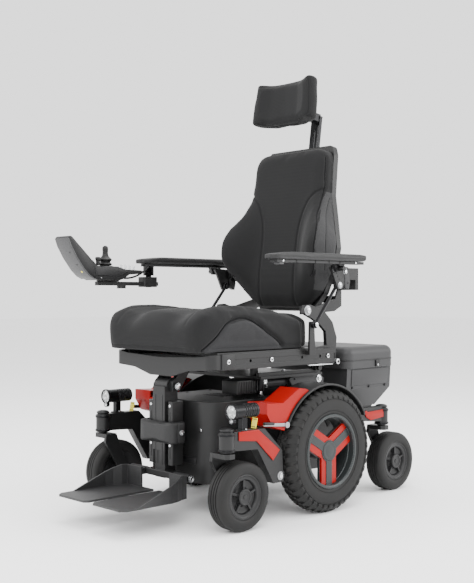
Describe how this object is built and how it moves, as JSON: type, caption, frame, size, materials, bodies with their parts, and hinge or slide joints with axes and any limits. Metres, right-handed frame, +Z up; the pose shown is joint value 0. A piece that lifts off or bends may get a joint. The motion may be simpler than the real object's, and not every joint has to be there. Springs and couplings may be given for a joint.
{
  "type": "power wheelchair",
  "caption": "Mid-wheel drive power wheelchair with lifting, tilting seat, reclining back, flip-up armrests, joystick console and raising legrest.",
  "frame": {"origin": "on the ground, under the middle of the footprint", "axes": "+Z up, front towards -Y, +X towards the occupant's left"},
  "size_m": [0.637, 1.133, 1.3302],
  "materials": {
    "black_powdercoat": "fine-textured black powder coat",
    "black_anodised": "black anodised, satin",
    "battery_case": "moulded polypropylene",
    "steel": "machined",
    "black_abs": "moulded ABS, light grain",
    "red_paint": "glossy red lacquer",
    "black_tyre": "solid rubber",
    "grey_aluminium": "dark grey painted cast wheel",
    "grey_plastic": "moulded grey plastic",
    "black_fabric": "stretch upholstery fabric",
    "black_urethane": "moulded urethane, leather grain",
    "white_translucent": "translucent white",
    "black_cable": "PVC cable"
  },
  "bodies": {
    "chassis": {"base_frame": "black_powdercoat", "batteries": "battery_case", "drive_motors": "steel", "front_shroud": "black_abs", "rear_housing": "black_abs", "rear_lid": "black_abs", "side_covers": "red_paint", "wheel_arches": "black_abs", "lift_outer": "black_anodised"},
    "wheel_left": {"drive_tyre_left": "black_tyre", "drive_rim_left": "grey_aluminium", "rim_trims_left": "red_paint"},
    "wheel_right": {"drive_tyre_right": "black_tyre", "drive_rim_right": "grey_aluminium", "rim_trims_right": "red_paint"},
    "front_arm_left": {"front_arm_left": "black_powdercoat", "headlight_left": "black_anodised"},
    "front_arm_right": {"front_arm_right": "black_powdercoat", "headlight_right": "black_anodised"},
    "rear_arm_left": {"rear_arm_left": "black_powdercoat"},
    "rear_arm_right": {"rear_arm_right": "black_powdercoat"},
    "lever_left": {"freewheel_lever_left": "black_anodised"},
    "lever_right": {"freewheel_lever_right": "black_anodised"},
    "lift_mid": {"lift_mid": "black_powdercoat"},
    "lift_head": {"lift_inner": "black_powdercoat", "tilt_motor": "grey_plastic"},
    "seat": {"seat_frame": "black_powdercoat", "seat_front_cover": "black_abs", "seat_cushion": "black_fabric"},
    "back": {"back_posts": "black_powdercoat", "back_shell": "black_abs", "back_cushion": "black_fabric"},
    "headrest_post": {"headrest_post": "black_anodised"},
    "headrest": {"headrest_pad": "black_fabric"},
    "arm_carriers": {"arm_carriers": "black_powdercoat"},
    "arm_rods": {"arm_rods": "black_anodised"},
    "armrest_left": {"arm_pad_left": "black_urethane"},
    "armrest_right": {"arm_pad_right": "black_urethane"},
    "leg": {"leg_outer": "black_powdercoat", "calf_pad": "black_fabric"},
    "leg_slide": {"leg_inner": "black_anodised"},
    "foot_left": {"footplate_left": "black_powdercoat"},
    "foot_right": {"footplate_right": "black_powdercoat"},
    "console": {"joystick_arm": "black_powdercoat", "joystick_box": "black_abs", "joystick_lead": "black_cable"},
    "stick_gimbal": {"joystick_gimbal": "black_abs"},
    "stick": {"joystick_stick": "black_abs"},
    "toggle_1": {"toggle_1": "white_translucent"},
    "toggle_2": {"toggle_2": "white_translucent"},
    "toggle_3": {"toggle_3": "white_translucent"},
    "toggle_4": {"toggle_4": "white_translucent"},
    "fork_front_left": {"caster_fork_front_left": "black_powdercoat"},
    "caster_front_left": {"caster_wheel_front_left": "black_tyre"},
    "fork_front_right": {"caster_fork_front_right": "black_powdercoat"},
    "caster_front_right": {"caster_wheel_front_right": "black_tyre"},
    "fork_rear_left": {"caster_fork_rear_left": "black_powdercoat"},
    "caster_rear_left": {"caster_wheel_rear_left": "black_tyre"},
    "fork_rear_right": {"caster_fork_rear_right": "black_powdercoat"},
    "caster_rear_right": {"caster_wheel_rear_right": "black_tyre"}
  },
  "joints": [
    {"name": "wheel_left_spin", "type": "hinge", "parent": "chassis", "child": "wheel_left", "pos_m": [0.278, 0.0705, 0.178], "axis": [-1, 0, 0], "continuous": true},
    {"name": "front_arm_left_lift", "type": "hinge", "parent": "chassis", "child": "front_arm_left", "pos_m": [0.276, -0.1245, 0.13], "axis": [-1, 0, 0], "range_deg": [0, 6], "stiffness_Nm_per_rad": 900, "springref_deg": -20.05},
    {"name": "rear_arm_left_lift", "type": "hinge", "parent": "chassis", "child": "rear_arm_left", "pos_m": [0.213, 0.2655, 0.25], "axis": [1, 0, 0], "range_deg": [0, 6], "stiffness_Nm_per_rad": 900, "springref_deg": -20.05},
    {"name": "caster_front_left_swivel", "type": "hinge", "parent": "front_arm_left", "child": "fork_front_left", "pos_m": [0.276, -0.3165, 0.24], "axis": [0, 0, 1], "continuous": true},
    {"name": "caster_front_left_spin", "type": "hinge", "parent": "fork_front_left", "child": "caster_front_left", "pos_m": [0.276, -0.2725, 0.093], "axis": [-1, 0, 0], "continuous": true},
    {"name": "caster_rear_left_swivel", "type": "hinge", "parent": "rear_arm_left", "child": "fork_rear_left", "pos_m": [0.213, 0.4295, 0.24], "axis": [0, 0, 1], "continuous": true},
    {"name": "caster_rear_left_spin", "type": "hinge", "parent": "fork_rear_left", "child": "caster_rear_left", "pos_m": [0.213, 0.4735, 0.093], "axis": [-1, 0, 0], "continuous": true},
    {"name": "lever_left_turn", "type": "hinge", "parent": "chassis", "child": "lever_left", "pos_m": [0.296, -0.1055, 0.27], "axis": [-1, 0, 0], "range_deg": [0, 25]},
    {"name": "wheel_right_spin", "type": "hinge", "parent": "chassis", "child": "wheel_right", "pos_m": [-0.278, 0.0705, 0.178], "axis": [-1, 0, 0], "continuous": true},
    {"name": "front_arm_right_lift", "type": "hinge", "parent": "chassis", "child": "front_arm_right", "pos_m": [-0.276, -0.1245, 0.13], "axis": [-1, 0, 0], "range_deg": [0, 6], "stiffness_Nm_per_rad": 900, "springref_deg": -20.05},
    {"name": "rear_arm_right_lift", "type": "hinge", "parent": "chassis", "child": "rear_arm_right", "pos_m": [-0.213, 0.2655, 0.25], "axis": [1, 0, 0], "range_deg": [0, 6], "stiffness_Nm_per_rad": 900, "springref_deg": -20.05},
    {"name": "caster_front_right_swivel", "type": "hinge", "parent": "front_arm_right", "child": "fork_front_right", "pos_m": [-0.276, -0.3165, 0.24], "axis": [0, 0, 1], "continuous": true},
    {"name": "caster_front_right_spin", "type": "hinge", "parent": "fork_front_right", "child": "caster_front_right", "pos_m": [-0.276, -0.2725, 0.093], "axis": [-1, 0, 0], "continuous": true},
    {"name": "caster_rear_right_swivel", "type": "hinge", "parent": "rear_arm_right", "child": "fork_rear_right", "pos_m": [-0.213, 0.4295, 0.24], "axis": [0, 0, 1], "continuous": true},
    {"name": "caster_rear_right_spin", "type": "hinge", "parent": "fork_rear_right", "child": "caster_rear_right", "pos_m": [-0.213, 0.4735, 0.093], "axis": [-1, 0, 0], "continuous": true},
    {"name": "lever_right_turn", "type": "hinge", "parent": "chassis", "child": "lever_right", "pos_m": [-0.296, -0.1055, 0.27], "axis": [-1, 0, 0], "range_deg": [0, 25]},
    {"name": "seat_lift", "type": "slide", "parent": "chassis", "child": "lift_head", "axis": [0, 0, 1], "range_m": [0, 0.3]},
    {"name": "seat_lift_mid", "type": "slide", "parent": "chassis", "child": "lift_mid", "axis": [0, 0, 1], "range_m": [0, 0.15]},
    {"name": "seat_tilt", "type": "hinge", "parent": "lift_head", "child": "seat", "pos_m": [0.156, 0.1705, 0.408], "axis": [-1, 0, 0], "range_deg": [0, 40]},
    {"name": "back_recline", "type": "hinge", "parent": "seat", "child": "back", "pos_m": [0.188, 0.0955, 0.585], "axis": [-1, 0, 0], "range_deg": [0, 45]},
    {"name": "arm_level", "type": "hinge", "parent": "back", "child": "arm_carriers", "pos_m": [0.254, 0.1955, 0.702], "axis": [1, 0, 0], "range_deg": [0, 45]},
    {"name": "arm_rod_swing", "type": "hinge", "parent": "seat", "child": "arm_rods", "pos_m": [0.244, 0.0705, 0.544], "axis": [-1, 0, 0], "range_deg": [0, 45]},
    {"name": "armrest_left_flip", "type": "hinge", "parent": "arm_carriers", "child": "armrest_left", "pos_m": [0.254, 0.1445, 0.711], "axis": [-1, 0, 0], "range_deg": [0, 90]},
    {"name": "armrest_right_flip", "type": "hinge", "parent": "arm_carriers", "child": "armrest_right", "pos_m": [-0.254, 0.1445, 0.711], "axis": [-1, 0, 0], "range_deg": [0, 90]},
    {"name": "leg_raise", "type": "hinge", "parent": "seat", "child": "leg", "pos_m": [0, -0.2915, 0.372], "axis": [-1, 0, 0], "range_deg": [0, 80]},
    {"name": "leg_extend", "type": "slide", "parent": "leg", "child": "leg_slide", "axis": [0, 0, -1], "range_m": [0, 0.06]},
    {"name": "foot_left_flip", "type": "hinge", "parent": "leg_slide", "child": "foot_left", "pos_m": [0.095, -0.3145, 0.124], "axis": [-1, 0, 0], "range_deg": [0, 90]},
    {"name": "foot_right_flip", "type": "hinge", "parent": "leg_slide", "child": "foot_right", "pos_m": [-0.095, -0.3145, 0.124], "axis": [-1, 0, 0], "range_deg": [0, 90]},
    {"name": "headrest_height", "type": "slide", "parent": "back", "child": "headrest_post", "axis": [0, 0.1392, 0.9903], "range_m": [-0.03, 0.08]},
    {"name": "headrest_tilt", "type": "hinge", "parent": "headrest_post", "child": "headrest", "pos_m": [0, 0.27592, 1.23106], "axis": [-1, 0, 0], "range_deg": [-20, 20]},
    {"name": "console_swing", "type": "hinge", "parent": "armrest_right", "child": "console", "pos_m": [-0.288, -0.1295, 0.672], "axis": [0, 0, 1], "range_deg": [-90, 0]},
    {"name": "stick_side", "type": "hinge", "parent": "stick_gimbal", "child": "stick", "pos_m": [-0.288, -0.2995, 0.7], "axis": [0, 1, 0], "range_deg": [-18, 18], "stiffness_Nm_per_rad": 0.3},
    {"name": "stick_forward", "type": "hinge", "parent": "console", "child": "stick_gimbal", "pos_m": [-0.288, -0.2995, 0.7], "axis": [1, 0, 0], "range_deg": [-18, 18], "stiffness_Nm_per_rad": 0.3},
    {"name": "toggle_1_tip", "type": "hinge", "parent": "console", "child": "toggle_1", "pos_m": [-0.288, -0.2375, 0.706], "axis": [1, 0, 0], "range_deg": [-5, 5], "stiffness_Nm_per_rad": 0.02},
    {"name": "toggle_2_tip", "type": "hinge", "parent": "console", "child": "toggle_2", "pos_m": [-0.288, -0.2215, 0.706], "axis": [1, 0, 0], "range_deg": [-5, 5], "stiffness_Nm_per_rad": 0.02},
    {"name": "toggle_3_tip", "type": "hinge", "parent": "console", "child": "toggle_3", "pos_m": [-0.288, -0.2055, 0.706], "axis": [1, 0, 0], "range_deg": [-5, 5], "stiffness_Nm_per_rad": 0.02},
    {"name": "toggle_4_tip", "type": "hinge", "parent": "console", "child": "toggle_4", "pos_m": [-0.288, -0.1895, 0.706], "axis": [1, 0, 0], "range_deg": [-5, 5], "stiffness_Nm_per_rad": 0.02}
  ],
  "couplings": [
    {"joint": "seat_lift_mid", "follows": "seat_lift", "ratio": 0.5},
    {"joint": "arm_level", "follows": "back_recline", "ratio": 1},
    {"joint": "arm_rod_swing", "follows": "back_recline", "ratio": 1},
    {"joint": "leg_extend", "follows": "leg_raise", "m_per_rad": 0.042972}
  ]
}
